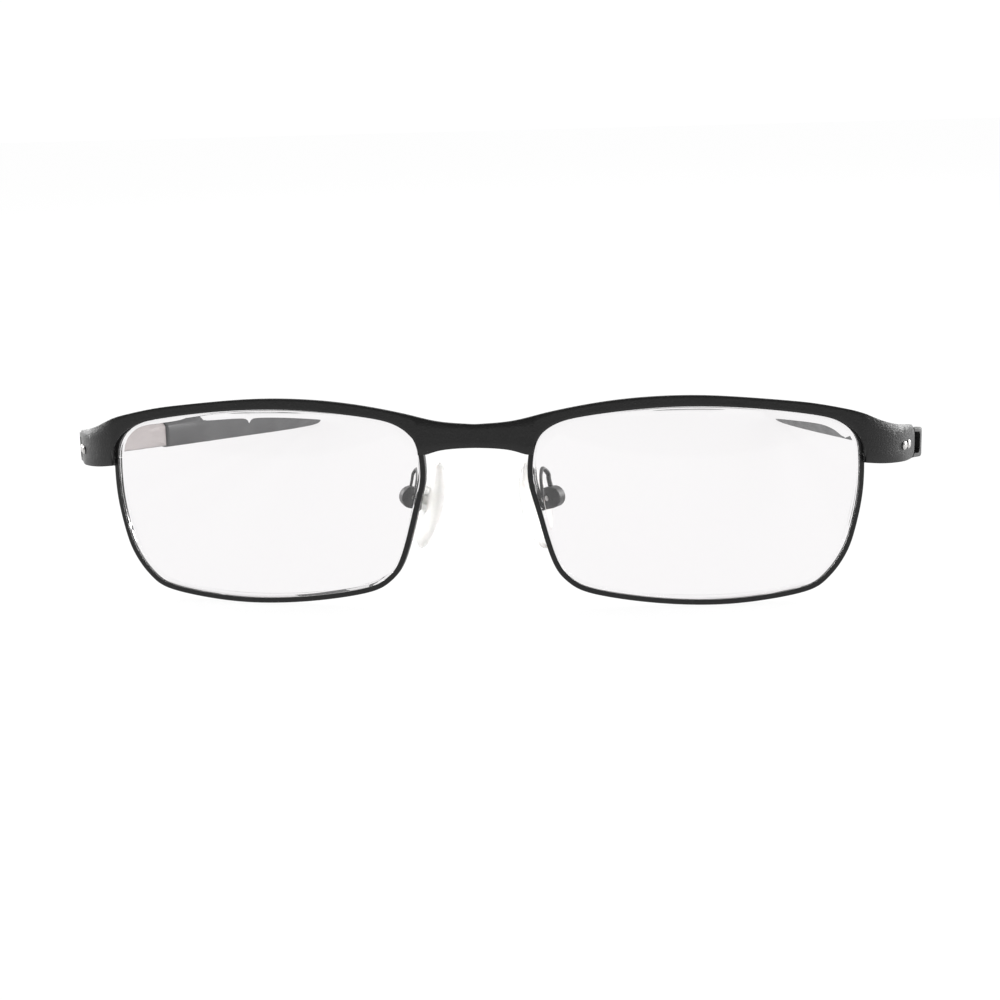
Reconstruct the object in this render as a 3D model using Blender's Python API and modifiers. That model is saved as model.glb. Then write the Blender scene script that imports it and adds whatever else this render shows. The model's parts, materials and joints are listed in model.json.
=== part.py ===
"""Folding reading glasses: a coated metal full-rim frame with two lenses, rocking nose pads and
two temples that fold on screwed hinges. They stand open on a table, on the rims and temple tips.

Metres, +Z up. The wearer looks along -Y, so the wearer's left is +X. Everything is modelled in the
front's own frame (x across, y backwards, z up, z = 0 near the lenses' mid-height) for the left
side. The right side hangs on a mirrored empty. Last of all the front is leaned until it stands.
"""

import math

import bmesh
import bpy
import numpy as np
from mathutils import Matrix, Vector

MM = 0.001
DEG = math.pi / 180

# ---- driving dimensions ------------------------------------------------------------------------

# Lenses: the marked sizes of the frame
LENS_WIDTH = 54.4 * MM  # over the bevel
LENS_HEIGHT = 33.0 * MM
LENS_LEVEL = -0.25 * MM  # of its middle
BRIDGE_WIDTH = 17.4 * MM  # between the two bevels, along the wrap
TEMPLE_LENGTH = 135.0 * MM  # from the joint to the tip, along the temple
LENS_EDGE = 1.6 * MM
LENS_FRONT_DOME = 0.9 * MM
LENS_BACK_DOME = 0.85 * MM
SAFETY_CHAMFER = 0.55 * MM  # ground off inside the bevel

# The lens outline, as shares of half the opening's width and height, from the rim's split at the
# temple side up, over the brow, and down the nose side
LENS_SHAPE = (
    (0.998, 0.45), (0.965, 0.65), (0.85, 0.81), (0.65, 0.895), (0.22, 0.98), (-0.22, 0.995),
    (-0.66, 0.925), (-0.87, 0.835), (-0.975, 0.65), (-1.0, 0.30), (-0.955, 0.0),
    (-0.865, -0.53), (-0.775, -0.75), (-0.62, -0.875), (-0.21, -0.98), (0.22, -1.0),
    (0.65, -0.905), (0.793, -0.767), (0.893, -0.54), (0.95, -0.28), (0.995, 0.08),
)
STEPS_PER_POINT = 3

# Front: how it wraps, seen from above
WRAP_RADIUS = 309.0 * MM
WRAP_LENGTH = 60.8 * MM  # from the middle to where the endpiece turns back
ENDPIECE_RADIUS = 14.0 * MM
ENDPIECE_TURN = 55.0 * DEG
TAIL_LENGTH = 4.0 * MM  # straight stretch that the hinge sits behind

# Sheet, wire and rim stock
PLATE_THICKNESS = 0.7 * MM
TEMPLE_THICKNESS = 0.95 * MM
RIM_WIDTH = 0.85 * MM
RIM_DEPTH = 1.7 * MM
GROOVE_DEPTH = 0.5 * MM
GROOVE_MOUTH = 1.1 * MM
RIM_SPLIT = 0.2 * MM  # gap between the rim's two ends
EDGE_BREAK = 0.12 * MM  # bevel along the edges of all sheet and rim stock

# Plate outline heights at distances from the middle
BROW_TOP = (
    (0.0, 13.3), (6.0, 13.8), (12.0, 15.2), (18.0, 16.35), (24.0, 17.15), (30.0, 17.5),
    (36.0, 17.5), (42.0, 17.1), (48.0, 16.5), (54.0, 15.8), (60.0, 14.6), (63.0, 13.75),
    (66.0, 12.5), (69.0, 11.65), (72.0, 11.15), (76.5, 10.55),
)
BRIDGE_UNDER = ((0.0, 9.5), (3.0, 9.4), (6.0, 9.05), (8.2, 8.3))
NOSE_COVER = 11.5 * MM  # height over which the plate covers the rim's whole width, nose side
TEMPLE_COVER = 13.0 * MM  # and temple side; from there down the rim shows more and more
ENDPIECE_UNDER = ((63.3, 5.72), (67.0, 5.3), (74.0, 4.88))
PLATE_END_TOP = 8.95 * MM  # the end edge of the plate, between its two chamfers
PLATE_END_BOTTOM = 5.6 * MM
CHAMFER_TOP = 1.7 * MM  # chamfer lengths along the plate
CHAMFER_BOTTOM = 1.0 * MM

# Clearances
SEAT = 0.05 * MM  # between faces that are brazed, pressed or screwed together
RUN = 0.05 * MM  # radial and end play of a moving joint
JOINT_GAP = 0.12 * MM  # between plate end and temple end when open

# Hinge
HINGE_HEIGHT = 3.4 * MM
HINGE_MIDDLE = 1.2 * MM  # the temple leaf's knuckle
HINGE_LEVEL = 7.3 * MM  # height of its middle
HINGE_CANT = 5.0 * DEG  # lean of its axis along the tail, which levels the folded temples
LEAF_THICKNESS = 0.8 * MM
LEAF_MARGIN = 1.3 * MM  # leaf beyond its last rivet
KNUCKLE_RADIUS = 0.95 * MM
KNUCKLE_SINK = 0.15 * MM  # of the knuckles into their leaf
HINGE_PIN_RADIUS = 0.5 * MM
HINGE_HEAD_RADIUS = 0.85 * MM

# Rivets and screws
RIVET_RADIUS = 0.4 * MM
RIVET_HEAD_RADIUS = 0.75 * MM
RIVET_HEAD_HEIGHT = 0.3 * MM
RIVET_PITCH = 1.85 * MM
RIVET_LEVEL = 7.65 * MM
RIVET_FROM_JOINT = 4.05 * MM  # plate end to the nearer rivet
TEMPLE_RIVET_FROM_JOINT = 8.2 * MM
SCREW_HEAD_HEIGHT = 0.4 * MM
SLOT_WIDTH = 0.2 * MM
SLOT_DEPTH = 0.18 * MM

# Closing block of the rim
LOCK_LENGTH = 2.3 * MM
LOCK_DEPTH = 1.8 * MM
LOCK_UPPER = 1.9 * MM
LOCK_LOWER = 1.3 * MM
LOCK_PIN_RADIUS = 0.4 * MM
LOCK_HEAD_RADIUS = 0.7 * MM

# Temple
HEAD_STRAIGHT = 3.3 * MM
TEMPLE_RADIUS = 8.0 * MM  # of the bend behind its head
TEMPLE_TURN = 30.5 * DEG
TEMPLE_DROP = 5.8 * DEG  # slope of the arm below the front's normal
HEAD_HEIGHT = 5.05 * MM
HEAD_OVERLAP = 1.0 * MM  # how far its rails reach forward over the plate's chamfers
WINDOW_LENGTH = 3.3 * MM
WINDOW_HEIGHT = 3.65 * MM
WINDOW_CORNER = 0.6 * MM
ARM_HEIGHT = 3.9 * MM
SHOULDER_START = 3.9 * MM  # distances from the joint, where its head narrows to the arm
SHOULDER_END = 5.6 * MM
SOCK_START = 40.5 * MM
CORE_HEIGHT = 2.5 * MM
CORE_SHORT_OF_TIP = 7.0 * MM
SOCK_HEIGHT = 4.5 * MM
SOCK_THICKNESS = 2.2 * MM
SOCK_CORNER = 0.7 * MM
SOCK_LIP = 0.5 * MM  # rounding of its front end
FOOT_LENGTH = 7.0 * MM  # flat under the tip, parallel to the table
FOOT_RISE = 3.7 * DEG  # against the front's normal
TIP_ROUND = 1.6 * MM

# Nose pads
PAD_PIVOT = Vector((11.2, 8.8, -0.2)) * MM
PAD_YAW = 25.0 * DEG  # pads open towards the face
PAD_SPLAY = 15.0 * DEG  # pads close towards the brow
BOX_RADIUS = 1.8 * MM
BOX_REACH = 0.9 * MM  # pivot to its flat nose side, and to the middle of its round side
BOX_DEPTH = 2.2 * MM
BOX_SLOT = 1.0 * MM
PAD_SCREW_RADIUS = 0.3 * MM
PAD_SCREW_HEAD = 0.45 * MM
TAB_RADIUS = 0.85 * MM
INSERT_START = 1.75 * MM  # pivot to the insert's plate and the pad's back
INSERT_PLATE = (0.6 * MM, 2.2 * MM, 4.0 * MM)
PAD_WIDTH = 7.6 * MM
PAD_HEIGHT = 15.0 * MM
PAD_THICKNESS = 2.7 * MM
PAD_DROP = 0.9 * MM  # the pad's middle below its pivot
PAD_NARROWING = 0.1  # of its half-width, at the top
ARM_WIRE_RADIUS = 0.42 * MM
ARM_FOOT_LEVEL = -1.0 * MM  # where the pad arm leaves the rim
PAD_ARM_ROUTE = ((10.1, 5.1, 1.3), (9.8, 6.5, 3.6), (10.2, 7.9, 4.85), (11.1, 8.9, 3.95))

# ---- worked out from the driving dimensions ----------------------------------------------------

LENS_CENTRE = (BRIDGE_WIDTH + LENS_WIDTH) / 2
RIM_FRONT = PLATE_THICKNESS + SEAT
RIM_MIDDLE = RIM_FRONT + RIM_DEPTH / 2
RIM_BACK = RIM_FRONT + RIM_DEPTH
LEAF_FRONT = PLATE_THICKNESS + SEAT
TEMPLE_LEAF_FRONT = TEMPLE_THICKNESS + SEAT
AXIS_DEPTH = LEAF_FRONT + LEAF_THICKNESS + KNUCKLE_RADIUS - KNUCKLE_SINK


class Plan:
    """A line seen from above: a start, a heading, then stretches of (length, turn), each straight
    or an arc. It is straight before its start and after its last stretch. Depth is measured to the
    left of the heading."""

    def __init__(self, start, heading, stretches):
        self.start, self.heading, self.stretches = Vector(start), heading, stretches

    def at(self, s):
        """The point and heading at distance s."""
        point, heading = self.start.copy(), self.heading
        left = float(s)
        for length, turn in self.stretches:
            if left <= 0:
                break
            step = min(left, length)
            half = turn * step / length / 2
            chord = step * math.sin(half) / half if half else step
            point += chord * Vector((math.cos(heading + half), math.sin(heading + half)))
            heading += 2 * half
            left -= step
        return point + left * Vector((math.cos(heading), math.sin(heading))), heading

    def place(self, s, depth, z):
        """The point in space at distance s, this far behind the line and this high."""
        point, heading = self.at(s)
        point = point + depth * Vector((-math.sin(heading), math.cos(heading)))
        return Vector((point.x, point.y, z))

    def frame(self, s, depth, z):
        """A frame there: x along the line, y inwards, z up."""
        return Matrix.Translation(self.place(s, depth, z)) @ Matrix.Rotation(self.at(s)[1], 4, "Z")


FRONT = Plan(
    (0.0, 0.0),
    0.0,
    ((WRAP_LENGTH, WRAP_LENGTH / WRAP_RADIUS), (ENDPIECE_RADIUS * ENDPIECE_TURN, ENDPIECE_TURN)),
)
PLATE_END = WRAP_LENGTH + ENDPIECE_RADIUS * ENDPIECE_TURN + TAIL_LENGTH
JOINT = PLATE_END + JOINT_GAP / 2
TEMPLE = Plan(*FRONT.at(JOINT), ((HEAD_STRAIGHT, 0), (TEMPLE_RADIUS * TEMPLE_TURN, TEMPLE_TURN)))

HINGE_FRAME = FRONT.frame(JOINT, AXIS_DEPTH, HINGE_LEVEL) @ Matrix.Rotation(HINGE_CANT, 4, "Y")
PAD_FRAME = (
    Matrix.Translation(PAD_PIVOT)
    @ Matrix.Rotation(-PAD_YAW, 4, "Z")
    @ Matrix.Rotation(-PAD_SPLAY, 4, "Y")
)


def smooth(points, steps, closed=False):
    """Points along a Catmull-Rom curve through these, steps to each stretch between two."""
    p = np.array(points, float)
    if closed:
        p = np.vstack((p[-1], p, p[0], p[1]))
    else:
        p = np.vstack((2 * p[0] - p[1], p, 2 * p[-1] - p[-2]))
    t = (np.arange(steps) / steps)[:, None]
    curve = [
        0.5 * (2 * b + (c - a) * t + (2 * a - 5 * b + 4 * c - d) * t**2 + (3 * (b - c) + d - a) * t**3)
        for a, b, c, d in zip(p, p[1:], p[2:], p[3:])
    ]
    return np.vstack(curve if closed else curve + [p[-2:-1]])


def lens_outline(offset):
    """The opening's outline grown by offset: (distance from the middle, height) of each point."""
    half = np.array((LENS_WIDTH / 2 - GROOVE_DEPTH, LENS_HEIGHT / 2 - GROOVE_DEPTH))
    line = smooth(np.array(LENS_SHAPE) * half, STEPS_PER_POINT, closed=True)
    along = np.roll(line, -1, axis=0) - np.roll(line, 1, axis=0)
    outward = np.stack((along[:, 1], -along[:, 0]), axis=1)
    outward /= np.linalg.norm(outward, axis=1)[:, None]
    return line + offset * outward + (LENS_CENTRE, LENS_LEVEL)


def height_at(points, s):
    """Height of a smooth edge through (distance, height) points given in millimetres."""
    edge = smooth(points, 8) * MM
    return float(np.interp(s, edge[:, 0], edge[:, 1]))


# ---- building blocks ---------------------------------------------------------------------------


def collection(name):
    made = bpy.data.collections.new(name)
    bpy.context.scene.collection.children.link(made)
    return made


def material(name, colour, roughness, metallic=0.0, transmission=0.0):
    made = bpy.data.materials.new(name)
    made.use_nodes = True
    made.diffuse_color = (*colour, 1.0)
    shader = made.node_tree.nodes["Principled BSDF"]
    shader.inputs["Base Color"].default_value = (*colour, 1.0)
    shader.inputs["Roughness"].default_value = roughness
    shader.inputs["Metallic"].default_value = metallic
    shader.inputs["Transmission Weight"].default_value = transmission
    return made


def empty(name, matrix, parent=None):
    made = bpy.data.objects.new(name, None)
    PARTS.objects.link(made)
    made.empty_display_size = 3 * MM
    made.parent = parent
    made.matrix_basis = matrix
    return made


def add(name, mesh, parent, matrix=Matrix(), finish=None, frame=Matrix()):
    """An object of this mesh. frame is the parent's own place, for a mesh modelled outside it.
    A piece without a finish is a helper that only cuts or joins."""
    made = bpy.data.objects.new(name, mesh)
    (PARTS if finish else CUTTERS).objects.link(made)
    made.parent = parent
    made.matrix_parent_inverse = frame.inverted()
    made.matrix_basis = matrix
    if finish:
        mesh.materials.append(finish)
        mesh.shade_smooth()
        mesh.set_sharp_from_angle(angle=35 * DEG)
    else:
        made.hide_render = True
        made.display_type = "WIRE"
    return made


def boolean(part, helper, operation="DIFFERENCE"):
    cut = part.modifiers.new(helper.name, "BOOLEAN")
    cut.object = helper
    cut.operation = operation
    cut.solver = "EXACT"


def bevel(part, width, segments=1):
    edge = part.modifiers.new("rounded edges", "BEVEL")
    edge.width = width
    edge.segments = segments
    edge.limit_method = "ANGLE"
    edge.angle_limit = 40 * DEG


def solidify(part, thickness):
    """Gives a strip its thickness, inwards."""
    sheet = part.modifiers.new("sheet", "SOLIDIFY")
    sheet.thickness = thickness
    sheet.offset = -1.0
    sheet.use_even_offset = True


def mesh_from(build, closed=True):
    """The mesh that build(bm) makes, facing out if it is closed."""
    bm = bmesh.new()
    build(bm)
    if closed:
        bmesh.ops.recalc_face_normals(bm, faces=bm.faces)
    mesh = bpy.data.meshes.new("mesh")
    bm.to_mesh(mesh)
    bm.free()
    return mesh


def box(low, high):
    size, middle = Vector(high) - Vector(low), (Vector(high) + Vector(low)) / 2
    place = Matrix.Translation(middle) @ Matrix.Diagonal((*size, 1.0))
    return mesh_from(lambda bm: bmesh.ops.create_cube(bm, size=1.0, matrix=place))


def cylinder(radius, low, high, sides=20):
    """A round bar along Z."""
    place = Matrix.Translation((0, 0, (low + high) / 2))
    return mesh_from(
        lambda bm: bmesh.ops.create_cone(
            bm, cap_ends=True, segments=sides, radius1=radius, radius2=radius,
            depth=high - low, matrix=place,
        )
    )


def prism(outline, low, high):
    """A flat outline in X and Z, extruded along Y."""
    def build(bm):
        face = bm.faces.new([bm.verts.new((x, low, z)) for x, z in outline])
        moved = bmesh.ops.extrude_face_region(bm, geom=[face])["geom"]
        bmesh.ops.translate(
            bm, verts=[v for v in moved if isinstance(v, bmesh.types.BMVert)], vec=(0, high - low, 0)
        )
    return mesh_from(build)


def strip(plan, rungs, depth):
    """A bent ribbon behind the plan line, of (distance, low height, high height) rungs."""
    def build(bm):
        pairs = [[bm.verts.new(plan.place(s, depth, z)) for z in (low, high)] for s, low, high in rungs]
        for a, b in zip(pairs, pairs[1:]):
            bm.faces.new((a[0], b[0], b[1], a[1]))
    return mesh_from(build, closed=False)


def skin(rings, closed=False):
    """A loft through rings of points. A ring of one point closes to a tip; other ends are capped."""
    def build(bm):
        loops = [[bm.verts.new(p) for p in ring] for ring in rings]
        for a, b in zip(loops, loops[1:] + loops[:1] if closed else loops[1:]):
            for i in range(max(len(a), len(b))):
                corners = [a[i % len(a)], a[(i + 1) % len(a)], b[(i + 1) % len(b)], b[i % len(b)]]
                bm.faces.new(list(dict.fromkeys(corners)))
        if not closed:
            for end in (loops[0], loops[-1]):
                if len(end) > 1:
                    bm.faces.new(end)
    return mesh_from(build)


def turned(profile, steps=20):
    """A closed turned mesh round Z from (radius, height) points, from the top of the axis down."""
    def build(bm):
        points = [bm.verts.new((r, 0, z)) for r, z in profile]
        edges = [bm.edges.new(pair) for pair in zip(points, points[1:])]
        bmesh.ops.spin(
            bm, geom=points + edges, cent=(0, 0, 0), axis=(0, 0, 1), angle=2 * math.pi,
            steps=steps, use_merge=True,
        )
        bmesh.ops.remove_doubles(bm, verts=bm.verts, dist=1e-7)
    return mesh_from(build)


def headed_pin(radius, head_radius, head_height, length, rounding):
    """A rivet or screw along Z: its head stands on z = 0, its shank reaches down to -length."""
    return turned(
        (
            (0, head_height), (head_radius - rounding, head_height),
            (head_radius, head_height - rounding), (head_radius, 0), (radius, 0),
            (radius, -length), (0, -length),
        )
    )


def rounded_rectangle(width, height, corner):
    """Points round a rectangle of this size, two to each round corner's ends and one between."""
    points = []
    for turn, (x, z) in enumerate(((1, 1), (-1, 1), (-1, -1), (1, -1))):
        for step in range(3):
            angle = (turn + step / 2) * math.pi / 2
            points.append(
                (x * (width / 2 - corner) + corner * math.cos(angle),
                 z * (height / 2 - corner) + corner * math.sin(angle))
            )
    return points


# ---- the sides ---------------------------------------------------------------------------------


class Side:
    """The empties that one side's pieces hang on: fixed ones, the temple's and the nose pad's."""

    def __init__(self, name, mirror):
        self.name = name
        self.fixed = empty(f"side_{name}", Matrix.Diagonal((mirror, 1, 1, 1)), STAND)
        self.hinge = empty(f"hinge_{name}", HINGE_FRAME, self.fixed)
        self.pad = empty(f"pad_pivot_{name}", PAD_FRAME, self.fixed)


def eyewire(side):
    """The rim: a grooved section swept round the lens, open at its split."""
    mouth, chamfer = GROOVE_MOUTH / 2, EDGE_BREAK
    section = (
        (0, RIM_FRONT), (RIM_WIDTH - chamfer, RIM_FRONT), (RIM_WIDTH, RIM_FRONT + chamfer),
        (RIM_WIDTH, RIM_BACK - chamfer), (RIM_WIDTH - chamfer, RIM_BACK), (0, RIM_BACK),
        (0, RIM_MIDDLE + mouth), (GROOVE_DEPTH, RIM_MIDDLE), (0, RIM_MIDDLE - mouth),
    )
    lines = [[FRONT.place(s, depth, z) for s, z in lens_outline(offset)] for offset, depth in section]
    rings = [list(ring) for ring in zip(*lines)]
    rings.append(rings[0])
    down = Vector((0, 0, RIM_SPLIT / 2))
    rings[0] = [p + down for p in rings[0]]
    rings[-1] = [p - down for p in rings[-1]]
    return add(f"eyewire_{side.name}", skin(rings), side.fixed, finish=COATED)


def lens(side):
    """A plus lens: domed front, flatter back, a V bevel that sits in the rim's groove."""
    half, vee = LENS_EDGE / 2, GROOVE_MOUTH / 2 - SEAT
    shoulder, tip = -SEAT, GROOVE_DEPTH - 0.07 * MM
    rim = [
        (-SAFETY_CHAMFER, -half), (shoulder, -half + 0.15 * MM), (shoulder, -vee), (tip, 0.0),
        (shoulder, vee), (shoulder, half - 0.15 * MM), (-SAFETY_CHAMFER, half),
    ]
    rings = [[FRONT.place(s, RIM_MIDDLE + depth, z) for s, z in lens_outline(offset)]
             for offset, depth in rim]
    middle = np.array((LENS_CENTRE, LENS_LEVEL))
    edge = lens_outline(-SAFETY_CHAMFER) - middle

    def inner(share, depth, dome):
        depth -= dome * (1 - share * share)
        points = edge * share + middle if share else [middle]
        return [FRONT.place(s, RIM_MIDDLE + depth, z) for s, z in points]

    front = [inner(share, -half, LENS_FRONT_DOME) for share in (0, 0.55)]
    back = [inner(share, half, LENS_BACK_DOME) for share in (0.55, 0)]
    return add(f"lens_{side.name}", skin(front + rings + back), side.fixed, finish=GLASS)


def rim_lock(side):
    """The two halves of the closing block on the rim's ends, and the screw that draws them shut."""
    split = LENS_LEVEL + LENS_SHAPE[0][1] * (LENS_HEIGHT / 2 - GROOVE_DEPTH)
    place = FRONT.frame(lens_outline(RIM_WIDTH)[:, 0].max() + SEAT, 0, split)
    # The block is straight and the endpiece curves back over its length.
    near = RIM_FRONT + LOCK_LENGTH**2 / (2 * ENDPIECE_RADIUS) + SEAT
    far, gap = near + LOCK_DEPTH, RIM_SPLIT / 2
    axis = Matrix.Translation((LOCK_LENGTH / 2, (near + far) / 2, 0))
    bore = add(f"lock_bore_{side.name}", cylinder(LOCK_PIN_RADIUS + RUN, -9 * MM, 9 * MM, 16),
               side.fixed, place @ axis)
    for name, low, high in (("upper", gap, gap + LOCK_UPPER), ("lower", -gap - LOCK_LOWER, -gap)):
        block = add(f"rim_lock_{name}_{side.name}", box((0, near, low), (LOCK_LENGTH, far, high)),
                    side.fixed, place, COATED)
        bevel(block, 0.15 * MM)
        boolean(block, bore)
    top = gap + LOCK_UPPER + SEAT
    screw = headed_pin(LOCK_PIN_RADIUS, LOCK_HEAD_RADIUS, SCREW_HEAD_HEIGHT,
                       top + gap + LOCK_LOWER - SEAT, 0.1 * MM)
    place = place @ axis @ Matrix.Translation((0, 0, top))
    slotted(add(f"rim_lock_screw_{side.name}", screw, side.fixed, place, STEEL), side.fixed, place,
            LOCK_HEAD_RADIUS)


def slotted(screw, parent, place, head_radius):
    """Cuts a driver slot across a screw's head."""
    low = SCREW_HEAD_HEIGHT - SLOT_DEPTH
    mesh = box((-2 * head_radius, -SLOT_WIDTH / 2, low), (2 * head_radius, SLOT_WIDTH / 2, 2 * low + MM))
    boolean(screw, add(f"{screw.name}_slot", mesh, parent, place))


def rivet_places(side_plan, first, pitch):
    """Frames of two rivets on the outer face of a sheet, with Z pointing outwards."""
    for s in (first, first + pitch):
        yield s, side_plan.frame(s, 0, 0) @ Matrix.Rotation(90 * DEG, 4, "X")


def rivets(side, name, plan, first, pitch, level, parent, frame, sheets, length):
    """Two rivets through each of the sheets, with their holes."""
    for label, (s, place) in zip(("front", "rear"), rivet_places(plan, first, pitch)):
        place = Matrix.Translation((0, 0, level(s))) @ place
        bore = add(f"{name}_bore_{label}_{side.name}", cylinder(RIVET_RADIUS + SEAT, -4 * MM, 2 * MM, 16),
                   parent, place, frame=frame)
        for sheet in sheets:
            boolean(sheet, bore)
        pin = headed_pin(RIVET_RADIUS, RIVET_HEAD_RADIUS, RIVET_HEAD_HEIGHT, length, 0.18 * MM)
        raised = place @ Matrix.Translation((0, 0, SEAT))
        add(f"{name}_rivet_{label}_{side.name}", pin, parent, raised, STEEL, frame)


def knuckles(side, name, leaf, spans, reach):
    """Joins knuckles round the hinge axis to a leaf. reach is how far their webs go along x."""
    web_low, web_high = -KNUCKLE_RADIUS - LEAF_THICKNESS / 4, -0.3 * MM
    for index, (low, high) in enumerate(spans):
        label = f"{name}_{index}_{side.name}"
        barrel = add(f"{label}_barrel", cylinder(KNUCKLE_RADIUS, low, high), side.hinge)
        inset = 0.06 * MM
        web = box((min(reach, 0), web_low, low + inset), (max(reach, 0), web_high, high - inset))
        boolean(leaf, barrel, "UNION")
        boolean(leaf, add(f"{label}_web", web, side.hinge), "UNION")
    boolean(leaf, add(f"{name}_bore_{side.name}",
                      cylinder(HINGE_PIN_RADIUS + RUN, -4 * MM, 4 * MM, 16), side.hinge))


def hinge(side, plate, arm):
    """Both leaves, their rivets and the hinge screw."""
    half, middle = HINGE_HEIGHT / 2, HINGE_MIDDLE / 2
    short = KNUCKLE_RADIUS + 2 * RUN

    def rungs(start, end, level):
        return [(s, level(s) - half, level(s) + half) for s in np.linspace(start, end, 9)]

    first_rivet = PLATE_END - RIVET_FROM_JOINT - RIVET_PITCH
    leaf_start = first_rivet - LEAF_MARGIN
    front_leaf = add(f"hinge_front_leaf_{side.name}",
                     strip(FRONT, rungs(leaf_start, JOINT - short, lambda s: HINGE_LEVEL), LEAF_FRONT),
                     side.fixed, finish=COATED)
    solidify(front_leaf, LEAF_THICKNESS)
    knuckles(side, "front_knuckle", front_leaf,
             ((middle + RUN, half), (-half, -middle - RUN)), -1.5 * short)
    rivets(side, "front", FRONT, first_rivet, RIVET_PITCH,
           lambda s: RIVET_LEVEL, side.fixed, Matrix(), (plate, front_leaf),
           PLATE_THICKNESS + 2 * SEAT + LEAF_THICKNESS)

    leaf_end = TEMPLE_RIVET_FROM_JOINT + RIVET_PITCH + LEAF_MARGIN
    temple_leaf = add(f"hinge_temple_leaf_{side.name}",
                      strip(TEMPLE, rungs(short, leaf_end, arm_level), TEMPLE_LEAF_FRONT),
                      side.hinge, finish=COATED, frame=HINGE_FRAME)
    solidify(temple_leaf, LEAF_THICKNESS)
    knuckles(side, "temple_knuckle", temple_leaf, ((-middle, middle),), 1.5 * short)
    rivets(side, "temple", TEMPLE, TEMPLE_RIVET_FROM_JOINT, RIVET_PITCH, arm_level, side.hinge,
           HINGE_FRAME, (arm, temple_leaf), TEMPLE_THICKNESS + 2 * SEAT + LEAF_THICKNESS)

    place = Matrix.Translation((0, 0, half + SEAT))
    screw = headed_pin(HINGE_PIN_RADIUS, HINGE_HEAD_RADIUS, SCREW_HEAD_HEIGHT, 2 * half, 0.12 * MM)
    fixed = HINGE_FRAME @ place
    slotted(add(f"hinge_screw_{side.name}", screw, side.fixed, fixed, STEEL), side.fixed, fixed,
            HINGE_HEAD_RADIUS)


def arm_level(s):
    """Height of the temple's middle line."""
    return HINGE_LEVEL - math.tan(TEMPLE_DROP) * s


def arm_height(s):
    """Height of the temple's blade, which narrows behind its head over two round shoulders."""
    share = (s - SHOULDER_START) / (SHOULDER_END - SHOULDER_START)
    narrowed = (1 - math.cos(math.pi * min(max(share, 0), 1))) / 2
    return HEAD_HEIGHT + narrowed * (ARM_HEIGHT - HEAD_HEIGHT)


def temple_arm(side):
    """The temple: a slotted head, a tapering arm, and the core that the ear sock slides over."""
    bend_end = HEAD_STRAIGHT + TEMPLE_RADIUS * TEMPLE_TURN
    stations = (-HEAD_OVERLAP, *np.linspace(HEAD_STRAIGHT, bend_end, 10), SOCK_START - SEAT,
                SOCK_START, TEMPLE_LENGTH - CORE_SHORT_OF_TIP)
    rungs = []
    for s in stations:
        half = (arm_height(s) if s < SOCK_START else CORE_HEIGHT) / 2
        rungs.append((s, arm_level(s) - half, arm_level(s) + half))
    arm = add(f"temple_arm_{side.name}", strip(TEMPLE, rungs, 0), side.hinge, finish=COATED,
              frame=HINGE_FRAME)
    solidify(arm, TEMPLE_THICKNESS)
    bevel(arm, EDGE_BREAK)
    # The slot, with the plate's chamfered end let into its mouth.
    low, high = arm_level(0) - WINDOW_HEIGHT / 2, arm_level(0) + WINDOW_HEIGHT / 2
    drop, corner, gap = math.tan(TEMPLE_DROP) * WINDOW_LENGTH, WINDOW_CORNER, JOINT_GAP
    top_start, under_start = PLATE_END - CHAMFER_TOP, PLATE_END - CHAMFER_BOTTOM
    outline = (
        (-CHAMFER_TOP, top_height(top_start) + gap), (0, PLATE_END_TOP + gap),
        (0.1 * MM, high), (WINDOW_LENGTH - corner, high - drop),
        (WINDOW_LENGTH, high - drop - corner), (WINDOW_LENGTH, low - drop + corner),
        (WINDOW_LENGTH - corner, low - drop), (0.1 * MM, low),
        (0, PLATE_END_BOTTOM - gap), (-CHAMFER_BOTTOM, under_height(under_start) - gap),
        (-CHAMFER_TOP, under_height(under_start) - gap),
    )
    window = add(f"temple_window_{side.name}", prism(outline, -4 * MM, 4 * MM), side.hinge,
                 TEMPLE.frame(0, 0, 0), frame=HINGE_FRAME)
    boolean(arm, window)
    return arm


def ear_sock(side):
    """The soft sleeve over the temple's end, with a flat under its tip."""
    middle_depth = TEMPLE_THICKNESS / 2
    foot_start, end = TEMPLE_LENGTH - FOOT_LENGTH, TEMPLE_LENGTH
    foot_low = arm_level(foot_start) - SOCK_HEIGHT / 2

    def ring(s, shrink=0.0):
        top = arm_level(s) + SOCK_HEIGHT / 2 - shrink
        low = arm_level(s) - SOCK_HEIGHT / 2 + shrink
        if s > foot_start:
            low = foot_low + math.tan(FOOT_RISE) * (s - foot_start) + shrink
        width = SOCK_THICKNESS - 2 * shrink
        section = rounded_rectangle(width, top - low, min(SOCK_CORNER, 0.4 * width))
        return [TEMPLE.place(s, middle_depth + x, (top + low) / 2 + z) for x, z in section]

    stations = [(SOCK_START, 0.35 * MM), (SOCK_START + SOCK_LIP, 0.0), (foot_start, 0.0),
                (end - TIP_ROUND, 0.0), (end - 0.35 * TIP_ROUND, 0.3 * MM), (end, 0.85 * MM)]
    sock = add(f"ear_sock_{side.name}", skin([ring(*station) for station in stations]), side.hinge,
               finish=SOCK, frame=HINGE_FRAME)
    core_end = TEMPLE_LENGTH - CORE_SHORT_OF_TIP + SEAT
    half = (TEMPLE_THICKNESS / 2 + SEAT, CORE_HEIGHT / 2 + SEAT)
    corners = ((1, 1), (-1, 1), (-1, -1), (1, -1))
    core = [[TEMPLE.place(s, middle_depth + x * half[0], arm_level(s) + z * half[1]) for x, z in corners]
            for s in (SOCK_START - MM, core_end)]
    boolean(sock, add(f"core_clearance_{side.name}", skin(core), side.hinge, frame=HINGE_FRAME))


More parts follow.
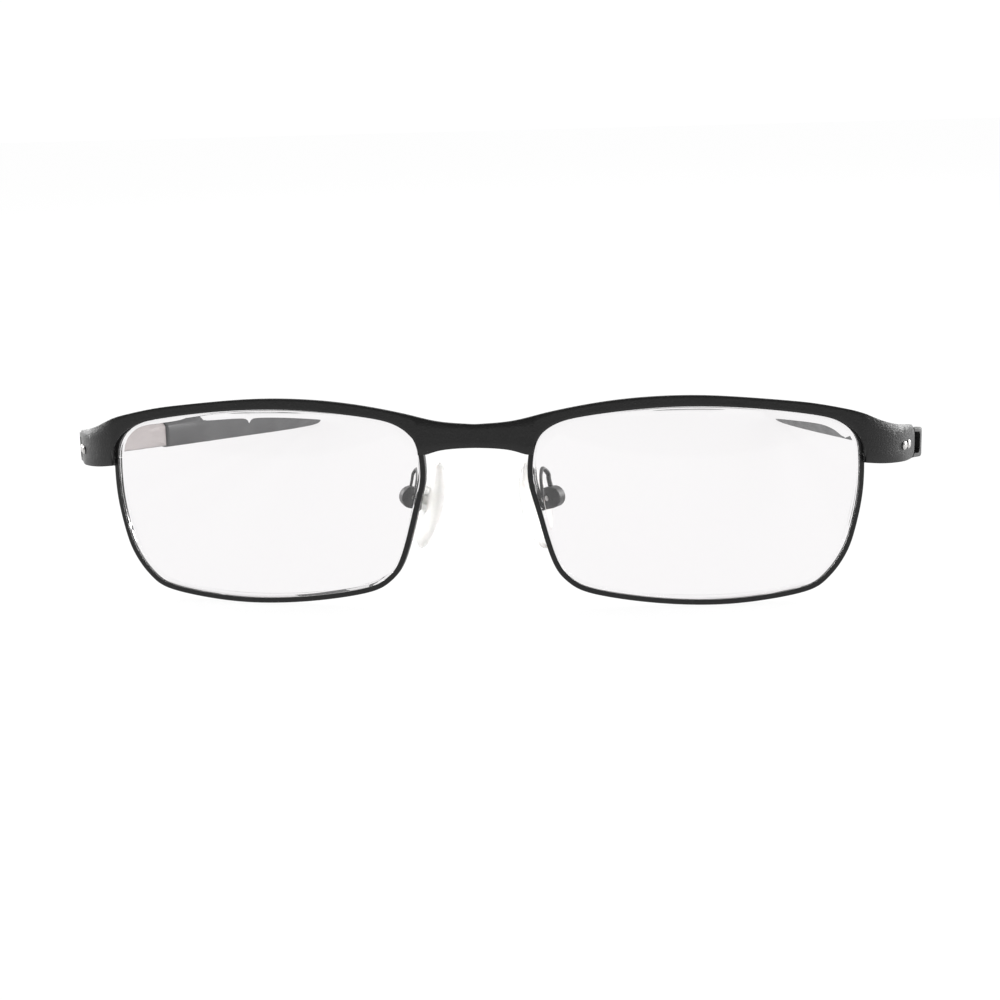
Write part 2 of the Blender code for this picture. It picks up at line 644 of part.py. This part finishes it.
def pad_box(side):
    """A D-shaped cup that holds the nose pad's tab, and the pad screw through it."""
    half = BOX_DEPTH / 2
    arc = [(BOX_REACH + BOX_RADIUS * math.cos(a), BOX_RADIUS * math.sin(a))
           for a in np.linspace(-90 * DEG, 90 * DEG, 11)]
    outline = [(-BOX_REACH, -BOX_RADIUS), *arc, (-BOX_REACH, BOX_RADIUS)]
    cup = add(f"pad_box_{side.name}", prism(outline, -half, half), side.fixed, PAD_FRAME, COATED)
    bevel(cup, 0.2 * MM)
    reach = TAB_RADIUS + 0.3 * MM
    slot = box((-5 * MM, -BOX_SLOT / 2, -reach), (reach, BOX_SLOT / 2, reach))
    boolean(cup, add(f"pad_slot_{side.name}", slot, side.fixed, PAD_FRAME))
    turn = Matrix.Rotation(90 * DEG, 4, "X")
    bore = cylinder(PAD_SCREW_RADIUS + RUN, -4 * MM, 4 * MM, 12)
    boolean(cup, add(f"pad_bore_{side.name}", bore, side.fixed, PAD_FRAME @ turn))
    screw = headed_pin(PAD_SCREW_RADIUS, PAD_SCREW_HEAD, 0.25 * MM, BOX_DEPTH, 0.08 * MM)
    place = PAD_FRAME @ turn @ Matrix.Translation((0, 0, half + SEAT))
    add(f"pad_screw_{side.name}", screw, side.fixed, place, STEEL)


def nose_pad(side):
    """The silicone pad and the hard insert that the pad screw holds."""
    outline = [(PAD_WIDTH / 2 * math.cos(a) * (1 - PAD_NARROWING * math.sin(a)),
                PAD_HEIGHT / 2 * math.sin(a) - PAD_DROP)
               for a in np.arange(24) * math.pi / 12]
    layers = ((0, 0.8), (0.15, 0.96), (0.4, 1.0), (0.75, 0.88), (0.93, 0.62), (1.0, 0.0))
    rings = []
    for share, scale in layers:
        points = outline if scale else outline[:1]
        rings.append([(-INSERT_START - share * PAD_THICKNESS, y * scale, (z + PAD_DROP) * scale - PAD_DROP)
                      for y, z in points])
    pad = add(f"nose_pad_{side.name}", skin(rings), side.pad, finish=SILICONE)
    depth, width, height = INSERT_PLATE
    grow = Vector((SEAT, SEAT, SEAT))
    low = Vector((-INSERT_START - depth, -width / 2, -height / 2))
    high = Vector((-INSERT_START, width / 2, height / 2))
    pocket = box(low - grow, high + grow)
    boolean(pad, add(f"insert_pocket_{side.name}", pocket, side.pad))
    arc = [(TAB_RADIUS * math.cos(a), TAB_RADIUS * math.sin(a))
           for a in np.linspace(-90 * DEG, 90 * DEG, 9)]
    outline = [(-INSERT_START - depth / 2, -TAB_RADIUS), *arc, (-INSERT_START - depth / 2, TAB_RADIUS)]
    half = BOX_SLOT / 2 - 2 * RUN
    insert = add(f"pad_insert_{side.name}", prism(outline, -half, half), side.pad, finish=INSERT)
    boolean(insert, add(f"insert_plate_{side.name}", box(low, high), side.pad), "UNION")
    bore = cylinder(PAD_SCREW_RADIUS + RUN, -4 * MM, 4 * MM, 12)
    turn = Matrix.Rotation(90 * DEG, 4, "X")
    boolean(insert, add(f"insert_bore_{side.name}", bore, side.pad, turn))


def pad_arm(side):
    """The wire from the back of the rim up, over and down to the pad box."""
    outline = lens_outline(RIM_WIDTH / 2)
    nose_side = outline[outline[:, 0] < LENS_CENTRE]
    order = np.argsort(nose_side[:, 1])
    foot = np.interp(ARM_FOOT_LEVEL, nose_side[order, 1], nose_side[order, 0])
    start = FRONT.place(foot, RIM_BACK + SEAT, ARM_FOOT_LEVEL)
    end = PAD_FRAME @ Vector((BOX_REACH, 0, BOX_RADIUS + SEAT))
    # Two points straight behind the foot keep its end face parallel to the rim's back.
    leads = [FRONT.place(foot, RIM_BACK + radii * ARM_WIRE_RADIUS, ARM_FOOT_LEVEL) for radii in (2, 4)]
    above = PAD_FRAME @ Vector((BOX_REACH, 0, BOX_RADIUS + 3 * ARM_WIRE_RADIUS))
    route = [start, *leads, *(Vector(p) * MM for p in PAD_ARM_ROUTE), above, end]
    curve = bpy.data.curves.new(f"pad_arm_{side.name}", "CURVE")
    curve.dimensions = "3D"
    curve.bevel_depth = ARM_WIRE_RADIUS
    curve.bevel_resolution = 2
    curve.use_fill_caps = True
    line = smooth(route, 4)
    spline = curve.splines.new("POLY")
    spline.points.add(len(line) - 1)
    for point, place in zip(spline.points, line):
        point.co = (*place, 1.0)
    curve.materials.append(COATED)
    wire = bpy.data.objects.new(curve.name, curve)
    PARTS.objects.link(wire)
    wire.parent = side.fixed


def top_height(s):
    """Height of the plate's upper edge."""
    start = PLATE_END - CHAMFER_TOP
    fall = (height_at(BROW_TOP, start) - PLATE_END_TOP) / CHAMFER_TOP
    return height_at(BROW_TOP, s) - fall * max(s - start, 0)


def under_height(s):
    """Height of the endpiece's lower edge."""
    start = PLATE_END - CHAMFER_BOTTOM
    rise = (PLATE_END_BOTTOM - height_at(ENDPIECE_UNDER, start)) / CHAMFER_BOTTOM
    return height_at(ENDPIECE_UNDER, s) + rise * max(s - start, 0)


def brow_plate():
    """The bridge, brow bar and both endpieces in one bent sheet."""
    inner, outer = lens_outline(0), lens_outline(RIM_WIDTH)
    nose_corner, nose_level = np.array(BRIDGE_UNDER[-1]) * MM
    outer_corner, outer_level = np.array(ENDPIECE_UNDER[0]) * MM
    nose_side = inner[:, 0] < LENS_CENTRE
    bottom = np.where(nose_side, nose_level, outer_level)
    top = np.where(nose_side, NOSE_COVER, TEMPLE_COVER)
    uncovered = np.clip((top - inner[:, 1]) / (top - bottom), 0, 1)
    over_rim = inner + uncovered[:, None] * (outer - inner)
    step = 0.3 * MM
    lower = [(s, height_at(BRIDGE_UNDER, s)) for s in np.linspace(0, nose_corner, 7)]
    nose = [(s, z) for s, z in over_rim if s < LENS_CENTRE and z > nose_level + step]
    temple = [(s, z) for s, z in over_rim if s >= LENS_CENTRE and z > outer_level + step]
    lower += [(min(nose)[0] - step / 2, nose_level), *nose, *temple, (outer_corner - step, outer_level)]
    bend = np.linspace(outer_corner, PLATE_END - CHAMFER_TOP, 12)
    for s in (*bend, PLATE_END - CHAMFER_BOTTOM, PLATE_END):
        lower.append((s, under_height(s)))
    rungs = [(s, low, top_height(s)) for s, low in sorted(lower)]
    plate = add("brow_plate", strip(FRONT, rungs, 0), STAND, finish=COATED)
    mirror = plate.modifiers.new("other side", "MIRROR")
    mirror.use_clip = True
    mirror.merge_threshold = 1e-5
    solidify(plate, PLATE_THICKNESS)
    bevel(plate, EDGE_BREAK)
    return plate


# ---- standing the glasses on the table ---------------------------------------------------------


def points_of(parts):
    """The evaluated vertices of these objects, in the world."""
    graph = bpy.context.evaluated_depsgraph_get()
    found = []
    for part in parts:
        evaluated = part.evaluated_get(graph)
        mesh = evaluated.to_mesh()
        points = np.empty(len(mesh.vertices) * 3)
        mesh.vertices.foreach_get("co", points)
        evaluated.to_mesh_clear()
        world = np.array(evaluated.matrix_world)
        found.append(points.reshape(-1, 3) @ world[:3, :3].T + world[:3, 3])
    return np.vstack(found)


def leaned(points, lean):
    """Points turned about X so that the brow moves back by this angle."""
    cos, sin = math.cos(lean), math.sin(lean)
    turn = np.array(((1, 0, 0), (0, cos, sin), (0, -sin, cos)))
    return points @ turn.T


def stand_on_table():
    """Leans the glasses until rims and tips touch one plane, and puts the origin under them."""
    bpy.context.view_layer.update()
    everything = [part for part in PARTS.objects if part.type != "EMPTY"]
    points = points_of(everything)
    rim = points_of([bpy.data.objects["eyewire_left"]])
    tip = points_of([bpy.data.objects["ear_sock_left"]])
    low, high = -20 * DEG, 20 * DEG
    for _ in range(60):
        lean = (low + high) / 2
        if leaned(rim, lean)[:, 2].min() > leaned(tip, lean)[:, 2].min():
            high = lean
        else:
            low = lean
    points = leaned(points, lean)
    middle = (points[:, 1].min() + points[:, 1].max()) / 2
    STAND.matrix_basis = (
        Matrix.Translation((0, -middle, -points[:, 2].min())) @ Matrix.Rotation(-lean, 4, "X")
    )


# ---- the glasses -------------------------------------------------------------------------------

for old in list(bpy.data.objects):
    bpy.data.objects.remove(old, do_unlink=True)

PARTS = collection("folding_reading_glasses")
CUTTERS = collection("cutters")
COATED = material("coated_metal", (0.03, 0.03, 0.032), 0.5, 0.3)
STEEL = material("steel", (0.62, 0.61, 0.6), 0.3, 1.0)
GLASS = material("lens_clear", (0.95, 0.97, 0.97), 0.02, transmission=1.0)
SILICONE = material("silicone", (0.85, 0.84, 0.8), 0.35, transmission=0.5)
INSERT = material("pad_insert", (0.8, 0.8, 0.78), 0.4, transmission=0.3)
SOCK = material("ear_sock", (0.05, 0.05, 0.055), 0.7)

STAND = empty("stand", Matrix())
PLATE = brow_plate()
for wearer_side, mirror_x in (("left", 1), ("right", -1)):
    SIDE = Side(wearer_side, mirror_x)
    eyewire(SIDE)
    lens(SIDE)
    rim_lock(SIDE)
    pad_arm(SIDE)
    pad_box(SIDE)
    nose_pad(SIDE)
    hinge(SIDE, PLATE, temple_arm(SIDE))
    ear_sock(SIDE)
stand_on_table()
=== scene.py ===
"""Looks for the folding reading glasses: fine surfaces, coatings, silicone and clear lenses.

Every piece is made from its CAD node and lies in the same place: the node's facets are joined into
whole faces, subdivided on all but the pad boxes and inserts, and shaded smooth.
Metres, in the CAD's own frame: +X to the wearer's left, -Y the way the wearer looks, +Z up.
"""

import json
import math

import bmesh
import bpy
import numpy as np
from mathutils import Matrix, Vector


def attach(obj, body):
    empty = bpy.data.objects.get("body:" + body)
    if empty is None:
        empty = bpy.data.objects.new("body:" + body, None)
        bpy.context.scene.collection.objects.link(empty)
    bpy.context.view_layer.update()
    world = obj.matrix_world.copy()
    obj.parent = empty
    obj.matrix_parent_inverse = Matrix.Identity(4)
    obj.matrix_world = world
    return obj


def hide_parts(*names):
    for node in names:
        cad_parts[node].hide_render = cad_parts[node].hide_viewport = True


MM = 0.001
DEG = math.pi / 180

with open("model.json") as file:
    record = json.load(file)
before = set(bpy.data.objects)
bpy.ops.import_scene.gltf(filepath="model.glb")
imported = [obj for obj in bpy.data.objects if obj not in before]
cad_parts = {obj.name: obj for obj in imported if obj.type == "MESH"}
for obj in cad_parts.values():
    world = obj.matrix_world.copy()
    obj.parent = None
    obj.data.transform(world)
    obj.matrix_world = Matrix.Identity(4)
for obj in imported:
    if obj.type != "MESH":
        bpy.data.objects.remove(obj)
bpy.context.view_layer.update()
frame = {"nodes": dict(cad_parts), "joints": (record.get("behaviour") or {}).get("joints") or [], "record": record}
NODES = frame["nodes"]
BODIES = frame["record"]["behaviour"]["bodies"]
BODY_OF = {node: body for body, nodes in BODIES.items() for node in nodes}
JOINTS = {joint["name"]: joint for joint in frame["joints"]}

# ---- the front's own frame ---------------------------------------------------------------------

# The pad pivot, in the front's own frame (x across, y backwards, z up): its place, and the yaw of
# its axis. The joint gives the same two in the world, and so the lean and place of the front.
PAD_PIVOT = Vector((11.2, 8.8, -0.2)) * MM
PAD_YAW = 25 * DEG


def front_frame():
    """World matrix of the front's own frame."""
    joint = JOINTS["nose_pad_left_rock"]
    lean = math.asin(-joint["axis"][2] / math.cos(PAD_YAW))
    turn = Matrix.Rotation(-lean, 4, "X")
    return Matrix.Translation(Vector(joint["pos_m"]) - turn @ PAD_PIVOT) @ turn


FRONT = front_frame()

# ---- camera ------------------------------------------------------------------------------------

CAMERA_PLACE = Vector((30.415, -253.555, 48.994)) * MM  # in the front's own frame
CAMERA_YAW = 5.973 * DEG  # to the wearer's right
CAMERA_PITCH = 10.667 * DEG  # down
CAMERA_ROLL = 1.214 * DEG
CAMERA_LENS = 57.7  # mm, on the usual 36 mm sensor
CAMERA_NEAREST = 10 * MM  # nothing nearer than this is drawn


def add_camera():
    """The scene's camera, placed and turned in the front's own frame."""
    view = bpy.data.cameras.new("camera")
    view.lens = CAMERA_LENS
    view.clip_start = CAMERA_NEAREST
    camera = bpy.data.objects.new("camera", view)
    bpy.context.scene.collection.objects.link(camera)
    aim = (
        Matrix.Rotation(CAMERA_YAW, 4, "Z")
        @ Matrix.Rotation(90 * DEG - CAMERA_PITCH, 4, "X")
        @ Matrix.Rotation(-CAMERA_ROLL, 4, "Z")
    )
    camera.matrix_world = FRONT @ Matrix.Translation(CAMERA_PLACE) @ aim
    bpy.context.scene.camera = camera


# ---- materials ---------------------------------------------------------------------------------

# How far a texture is drawn out along a temple, which lies along Y at rest.
BRUSHED_LENGTHWAYS = (1.0, 0.06, 1.0)
SCUFFED_LENGTHWAYS = (1.0, 0.05, 1.0)


class Nodes:
    """A material's node tree, with short calls to add and join nodes."""

    def __init__(self, name, **values):
        """values set the shader's own sockets, with _ for a space in their names."""
        self.material = bpy.data.materials.new(name)
        self.material.use_nodes = True
        self.tree = self.material.node_tree
        self.shader = self.tree.nodes["Principled BSDF"]
        for socket, value in values.items():
            self.shader.inputs[socket.replace("_", " ")].default_value = value

    def add(self, kind, **values):
        """A new node; values set its input sockets, with _ for a space in their names."""
        made = self.tree.nodes.new(kind)
        for socket, value in values.items():
            made.inputs[socket.replace("_", " ")].default_value = value
        return made

    def join(self, source, target):
        """Links an output socket to an input socket."""
        self.tree.links.new(source, target)

    def into(self, source, socket):
        """Joins a value to one of the shader's sockets."""
        self.join(source, self.shader.inputs[socket])

    def noise(self, cells, detail=3.0, roughness=0.5, stretch=None):
        """Noise in object space, with this many cells a metre, drawn out by stretch."""
        place = self.add("ShaderNodeTexCoord").outputs["Object"]
        if stretch:
            mapping = self.add("ShaderNodeMapping", Scale=stretch)
            self.join(place, mapping.inputs["Vector"])
            place = mapping.outputs["Vector"]
        made = self.add("ShaderNodeTexNoise", Scale=cells, Detail=detail, Roughness=roughness)
        self.join(place, made.inputs["Vector"])
        return made.outputs["Fac"]

    def ramp(self, factor, *stops):
        """Colours or greys along a factor, from (position, value) stops."""
        made = self.add("ShaderNodeValToRGB")
        self.join(factor, made.inputs["Fac"])
        elements = made.color_ramp.elements
        while len(elements) < len(stops):
            elements.new(0.5)
        for element, (position, value) in zip(elements, stops):
            element.position = position
            colour = value if isinstance(value, tuple) else (value, value, value)
            element.color = (*colour, 1.0)
        return made.outputs["Color"]

    def bump(self, height, strength, distance, under=None):
        """A normal bumped by a height, on top of another bumped normal where one is given."""
        made = self.add("ShaderNodeBump", Strength=strength, Distance=distance)
        self.join(height, made.inputs["Height"])
        if under:
            self.join(under, made.inputs["Normal"])
        return made.outputs["Normal"]


def coated_metal(name, level, gloss):
    """Matte black coat of this grey level: a fine pebble with paler grains, and clouds in its gloss."""
    m = Nodes(name, Specular_IOR_Level=gloss)
    pebble = m.noise(cells=2900, detail=2.5, roughness=0.6)
    cloud = m.noise(cells=500)
    dark, mid, pale = 0.9 * level, 1.1 * level, 1.8 * level
    m.into(m.ramp(pebble, (0.36, dark), (0.60, mid), (0.72, pale)), "Base Color")
    m.into(m.ramp(cloud, (0.35, 0.33), (0.65, 0.42)), "Roughness")
    m.into(m.bump(pebble, strength=1.0, distance=0.07 * MM), "Normal")
    return m.material


def sheen_painted_metal():
    """Satin, pale warm grey of the temples' inner faces, brushed lengthways; the pale grey is painted sheen, for
    the glare these faces catch at a grazing view.
    """
    m = Nodes("painted_sheen_grey", Specular_IOR_Level=0.5)
    brushed = m.noise(cells=2600, detail=3.0, roughness=0.6, stretch=BRUSHED_LENGTHWAYS)
    # painted sheen: a pale grey base colour, where the coat itself is black
    m.into(m.ramp(brushed, (0.3, (0.29, 0.262, 0.258)), (0.7, (0.35, 0.318, 0.313))), "Base Color")
    m.into(m.ramp(brushed, (0.3, 0.34), (0.7, 0.46)), "Roughness")
    m.into(m.bump(brushed, strength=0.2, distance=0.01 * MM), "Normal")
    return m.material


def steel():
    """Steel of the rivets and screws, with fine mottling in its colour and gloss."""
    m = Nodes("bright_steel", Metallic=1.0)
    mottle = m.noise(cells=5000, detail=2.0)
    m.into(m.ramp(mottle, (0.3, (0.44, 0.43, 0.42)), (0.7, (0.60, 0.59, 0.58))), "Base Color")
    m.into(m.ramp(mottle, (0.3, 0.30), (0.7, 0.42)), "Roughness")
    m.into(m.bump(mottle, strength=0.15, distance=0.01 * MM), "Normal")
    return m.material


def lens_clear():
    """Clear lens plastic, a little grey, with a faint film on it."""
    m = Nodes(
        "lens_clear",
        IOR=1.5,
        Transmission_Weight=1.0,
        Base_Color=(0.902, 0.889, 0.895, 1.0),
    )
    film = m.noise(cells=260)
    m.into(m.ramp(film, (0.45, 0.0), (0.9, 0.035)), "Roughness")
    return m.material


def silicone():
    """Milky, nearly clear silicone of the nose pads."""
    m = Nodes(
        "silicone",
        IOR=1.33,
        Transmission_Weight=0.8,
        Subsurface_Weight=0.2,
        Subsurface_Radius=(1.0, 0.9, 0.8),
        Subsurface_Scale=1.5 * MM,
    )
    cloud = m.noise(cells=400)
    grain = m.noise(cells=2600)
    m.into(m.ramp(cloud, (0.3, (0.965, 0.95, 0.93)), (0.7, (0.99, 0.978, 0.96))), "Base Color")
    m.into(m.ramp(cloud, (0.3, 0.34), (0.7, 0.46)), "Roughness")
    m.into(m.bump(grain, strength=0.08, distance=0.02 * MM), "Normal")
    return m.material


def hard_plastic():
    """Frosted clear plastic of the pad inserts."""
    m = Nodes("frosted_plastic", IOR=1.45, Transmission_Weight=0.75)
    cloud = m.noise(cells=900)
    m.into(m.ramp(cloud, (0.3, (0.88, 0.88, 0.86)), (0.7, (0.94, 0.94, 0.92))), "Base Color")
    m.into(m.ramp(cloud, (0.3, 0.26), (0.7, 0.38)), "Roughness")
    return m.material


def soft_plastic():
    """Satin dark grey of the ear socks, with a moulding grain and faint lengthways scuffs."""
    m = Nodes("ear_sock", Specular_IOR_Level=0.3)
    grain = m.noise(cells=3800, detail=3.0, roughness=0.55)
    cloud = m.noise(cells=110, detail=2.0)
    scuff = m.noise(cells=900, detail=3.0, roughness=0.6, stretch=SCUFFED_LENGTHWAYS)
    m.into(m.ramp(cloud, (0.3, (0.032, 0.033, 0.034)), (0.7, (0.044, 0.045, 0.046))), "Base Color")
    m.into(m.ramp(scuff, (0.35, 0.36), (0.7, 0.50)), "Roughness")
    grained = m.bump(grain, strength=0.3, distance=0.02 * MM)
    m.into(m.bump(scuff, strength=0.12, distance=0.01 * MM, under=grained), "Normal")
    return m.material


# ---- fine surfaces from the CAD nodes ----------------------------------------------------------

WELD = 2e-6  # joins a node's corners, which its file stores once a facet
SAME_FACE = 25 * DEG  # most angle between two triangles that are joined into one face
ANY_SHAPE = 180 * DEG  # they are joined whatever the joined face's corners are
FACE_ON = 0.9  # least cosine between a direction and the normal of a face turned that way
SHARP = 32  # degrees: edges sharper than this stay sharp on most pieces
SHARP_ROUND = 60  # degrees: the same for pins, wires and pads, whose facets are coarser
SHARP_LENS = 8  # degrees: the same for lenses, whose chamfers are shallow
WIRE_SWELL = 0.03 * MM  # makes up for what subdividing takes off a pad arm's thin wire
CHAMFER_LEAST = 6 * DEG  # smallest angle between a lens face and its chamfer
SURFACE_POWER = 4  # of the polynomial surface that each face of a lens lies on


def welded(node):
    """The node's mesh with its corners joined and its flat facets merged into whole faces."""
    bm = bmesh.new()
    bm.from_mesh(NODES[node].data)
    bmesh.ops.remove_doubles(bm, verts=bm.verts, dist=WELD)
    bmesh.ops.join_triangles(
        bm,
        faces=bm.faces,
        angle_face_threshold=SAME_FACE,
        angle_shape_threshold=ANY_SHAPE,
    )
    return bm


def refined(node, finish, sharp=SHARP, levels=2, swell=0.0):
    """A smooth piece that stands for a node: its surface subdivided this many times, with edges
    sharper than this many degrees kept. swell first moves the surface out."""
    bm = welded(node)
    crease = bm.edges.layers.float.new("crease_edge")
    for edge in bm.edges:
        if edge.calc_face_angle(math.pi) > sharp * DEG:
            edge[crease] = 1.0
    if swell:
        bm.normal_update()
        for vert in bm.verts:
            vert.co += vert.normal * swell
    mesh = bpy.data.meshes.new(f"{node}_fine")
    bm.to_mesh(mesh)
    bm.free()
    piece = bpy.data.objects.new(mesh.name, mesh)
    bpy.context.scene.collection.objects.link(piece)
    fine = piece.modifiers.new("fine", "SUBSURF")
    fine.levels = fine.render_levels = levels
    graph = bpy.context.evaluated_depsgraph_get()
    piece.data = bpy.data.meshes.new_from_object(piece.evaluated_get(graph))
    piece.modifiers.clear()
    piece.data.name = mesh.name
    bpy.data.meshes.remove(mesh)
    piece.data.materials.clear()
    piece.data.materials.append(finish)
    piece.data.shade_smooth()
    piece.data.set_sharp_from_angle(angle=sharp * DEG)
    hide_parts(node)
    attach(piece, BODY_OF[node])
    return piece


def polished(lens):
    """Puts each face of a lens, inside its chamfer, on one smooth surface fitted to its corners."""
    bm = bmesh.new()
    bm.from_mesh(lens.data)
    bm.transform(FRONT.inverted())
    bm.faces.ensure_lookup_table()
    places = np.array([vert.co for vert in bm.verts])
    middle, half = places.mean(axis=0), np.ptp(places, axis=0) / 2
    for sign in (-1, 1):
        # The face is found by spreading from its middle until the surface turns at the chamfer.
        facing = [face for face in bm.faces if face.normal.y * sign > FACE_ON]
        start = min(facing, key=lambda face: (face.calc_center_median() - Vector(middle)).length)
        found, ahead = {start}, [start]
        while ahead:
            for edge in ahead.pop().edges:
                if edge.calc_face_angle(math.pi) < CHAMFER_LEAST:
                    fresh = set(edge.link_faces) - found
                    found |= fresh
                    ahead.extend(fresh)
        chosen = sorted({vert.index for face in found for vert in face.verts})
        x, z = ((places[chosen] - middle) / half)[:, (0, 2)].T
        powers = range(SURFACE_POWER + 1)
        terms = [x**i * z**j for i in powers for j in powers if i + j <= SURFACE_POWER]
        terms = np.stack(terms, axis=1)
        share = np.linalg.lstsq(terms, places[chosen, 1], rcond=None)[0]
        places[chosen, 1] = terms @ share
    for vert, place in zip(bm.verts, places):
        vert.co = place
    bm.transform(FRONT)
    bm.to_mesh(lens.data)
    bm.free()


def paint_inner_sheen(arm, side, finish):
    """Gives a temple's inner faces another finish: the pale grey of painted sheen."""
    arm.data.materials.append(finish)
    inward = -1 if side == "left" else 1
    for face in arm.data.polygons:
        if face.normal.x * inward > FACE_ON:
            face.material_index = 1


# ---- stage -------------------------------------------------------------------------------------

FLOOR_HALF = 3.0  # half the light table's side
FLOOR_ALBEDO = 0.06
FLOOR_GLOW = 0.955  # what the table gives out by itself, where 1 is white
SEEN_WHITE = 1.03  # the surround's strength where it is seen
LIGHT_BEHIND = 1.1  # its strength as light from behind the glasses
LIGHT_LEVEL = 1.0  # the same from in front of them, from straight ahead
LIGHT_RAISED = 0.25  # the same from in front, and from RAISED upwards
RAISED = 0.5  # height part of a direction
AHEAD = -0.2  # backward part of a direction that counts as in front of the glasses
BEHIND = 0.4  # backward part of a direction that counts as behind them

# Soft lights: name, place, the point each is turned to, width and height, and watts.
PANELS = (
    ("top", (0.0, 0.15, 0.8), (0.0, 0.0, 0.0), (0.8, 0.5), 4),
    ("side_left", (0.7, 0.32, 0.26), (0.05, 0.0, 0.0), (0.5, 0.5), 9),
    ("side_right", (-0.7, 0.32, 0.26), (-0.05, 0.0, 0.0), (0.5, 0.5), 6),
)


def panel(name, place, aim, size, watts):
    """A rectangular white area light."""
    light = bpy.data.lights.new(name, "AREA")
    light.shape = "RECTANGLE"
    light.size, light.size_y = size
    light.energy = watts
    lamp = bpy.data.objects.new(name, light)
    bpy.context.scene.collection.objects.link(lamp)
    lamp.location = place
    lamp.rotation_euler = (Vector(aim) - Vector(place)).to_track_quat("-Z", "Y").to_euler()


def floor():
    """A large pale light table: it glows by itself, so that it comes out white."""
    bm = bmesh.new()
    bmesh.ops.create_grid(bm, x_segments=1, y_segments=1, size=FLOOR_HALF)
    mesh = bpy.data.meshes.new("floor")
    bm.to_mesh(mesh)
    bm.free()
    table = bpy.data.objects.new("floor", mesh)
    bpy.context.scene.collection.objects.link(table)
    m = Nodes(
        "floor",
        Base_Color=(FLOOR_ALBEDO, FLOOR_ALBEDO, FLOOR_ALBEDO, 1.0),
        Roughness=0.9,
        Specular_IOR_Level=0.0,
        Emission_Color=(1.0, 1.0, 1.0, 1.0),
        Emission_Strength=FLOOR_GLOW,
    )
    mesh.materials.append(m.material)


def ranged(nodes, links, source, given, wanted):
    """A value mapped from one range to another, and held at its ends."""
    made = nodes.new("ShaderNodeMapRange")
    links.new(source, made.inputs["Value"])
    for socket, value in zip(("From Min", "From Max", "To Min", "To Max"), (*given, *wanted)):
        made.inputs[socket].default_value = value
    return made.outputs["Result"]


def surround():
    """White where it is seen; as light on the glasses, dimmer from in front of them."""
    world = bpy.data.worlds.new("surround")
    world.use_nodes = True
    bpy.context.scene.world = world
    nodes, links = world.node_tree.nodes, world.node_tree.links
    seen = nodes["Background"]
    seen.inputs["Color"].default_value = (1, 1, 1, 1)
    seen.inputs["Strength"].default_value = SEEN_WHITE
    light = nodes.new("ShaderNodeBackground")
    coordinates = nodes.new("ShaderNodeTexCoord")
    axes = nodes.new("ShaderNodeSeparateXYZ")
    links.new(coordinates.outputs["Generated"], axes.inputs["Vector"])
    front = ranged(nodes, links, axes.outputs["Z"], (0.0, RAISED), (LIGHT_LEVEL, LIGHT_RAISED))
    behind = ranged(nodes, links, axes.outputs["Y"], (AHEAD, BEHIND), (0.0, 1.0))
    level = nodes.new("ShaderNodeMix")
    links.new(behind, level.inputs["Factor"])
    links.new(front, level.inputs["A"])
    level.inputs["B"].default_value = LIGHT_BEHIND
    links.new(level.outputs["Result"], light.inputs["Strength"])
    path = nodes.new("ShaderNodeLightPath")
    lighting = nodes.new("ShaderNodeMath")
    lighting.operation = "MAXIMUM"
    links.new(path.outputs["Is Diffuse Ray"], lighting.inputs[0])
    links.new(path.outputs["Is Glossy Ray"], lighting.inputs[1])
    mixed = nodes.new("ShaderNodeMixShader")
    links.new(lighting.outputs["Value"], mixed.inputs["Fac"])
    links.new(seen.outputs["Background"], mixed.inputs[1])
    links.new(light.outputs["Background"], mixed.inputs[2])
    links.new(mixed.outputs["Shader"], nodes["World Output"].inputs["Surface"])


def stage():
    """The white table and surround, a soft light overhead and one at each side."""
    bpy.context.scene.view_settings.view_transform = "Standard"
    floor()
    surround()
    for name, place, aim, size, watts in PANELS:
        panel(name, place, aim, size, watts)


# ---- the glasses -------------------------------------------------------------------------------

add_camera()
stage()

COAT = coated_metal("powder_coat", level=0.012, gloss=0.34)
PLATE = coated_metal("black_paint", level=0.010, gloss=0.32)
PAINTED_SHEEN = sheen_painted_metal()
STEEL = steel()
LENS = lens_clear()
PAD = silicone()
INSERT = hard_plastic()
SOCK = soft_plastic()

BLOCKS = ("rim_lock_upper", "rim_lock_lower", "hinge_front_leaf", "hinge_temple_leaf")
PINS = (
    "rim_lock_screw",
    "pad_screw",
    "front_rivet_front",
    "front_rivet_rear",
    "hinge_screw",
    "temple_rivet_front",
    "temple_rivet_rear",
)

refined("brow_plate", PLATE)
for side in ("left", "right"):
    refined(f"eyewire_{side}", PLATE)
    polished(refined(f"lens_{side}", LENS, sharp=SHARP_LENS, levels=3))
    for block in BLOCKS:
        refined(f"{block}_{side}", COAT, levels=1)
    for pin in PINS:
        refined(f"{pin}_{side}", STEEL, sharp=SHARP_ROUND)
    refined(f"pad_arm_{side}", COAT, sharp=SHARP_ROUND, swell=WIRE_SWELL)
    refined(f"pad_box_{side}", COAT, levels=0)
    refined(f"nose_pad_{side}", PAD, sharp=SHARP_ROUND)
    refined(f"pad_insert_{side}", INSERT, levels=0)
    # the temple's inner faces get the painted sheen
    paint_inner_sheen(refined(f"temple_arm_{side}", COAT), side, PAINTED_SHEEN)
    refined(f"ear_sock_{side}", SOCK)
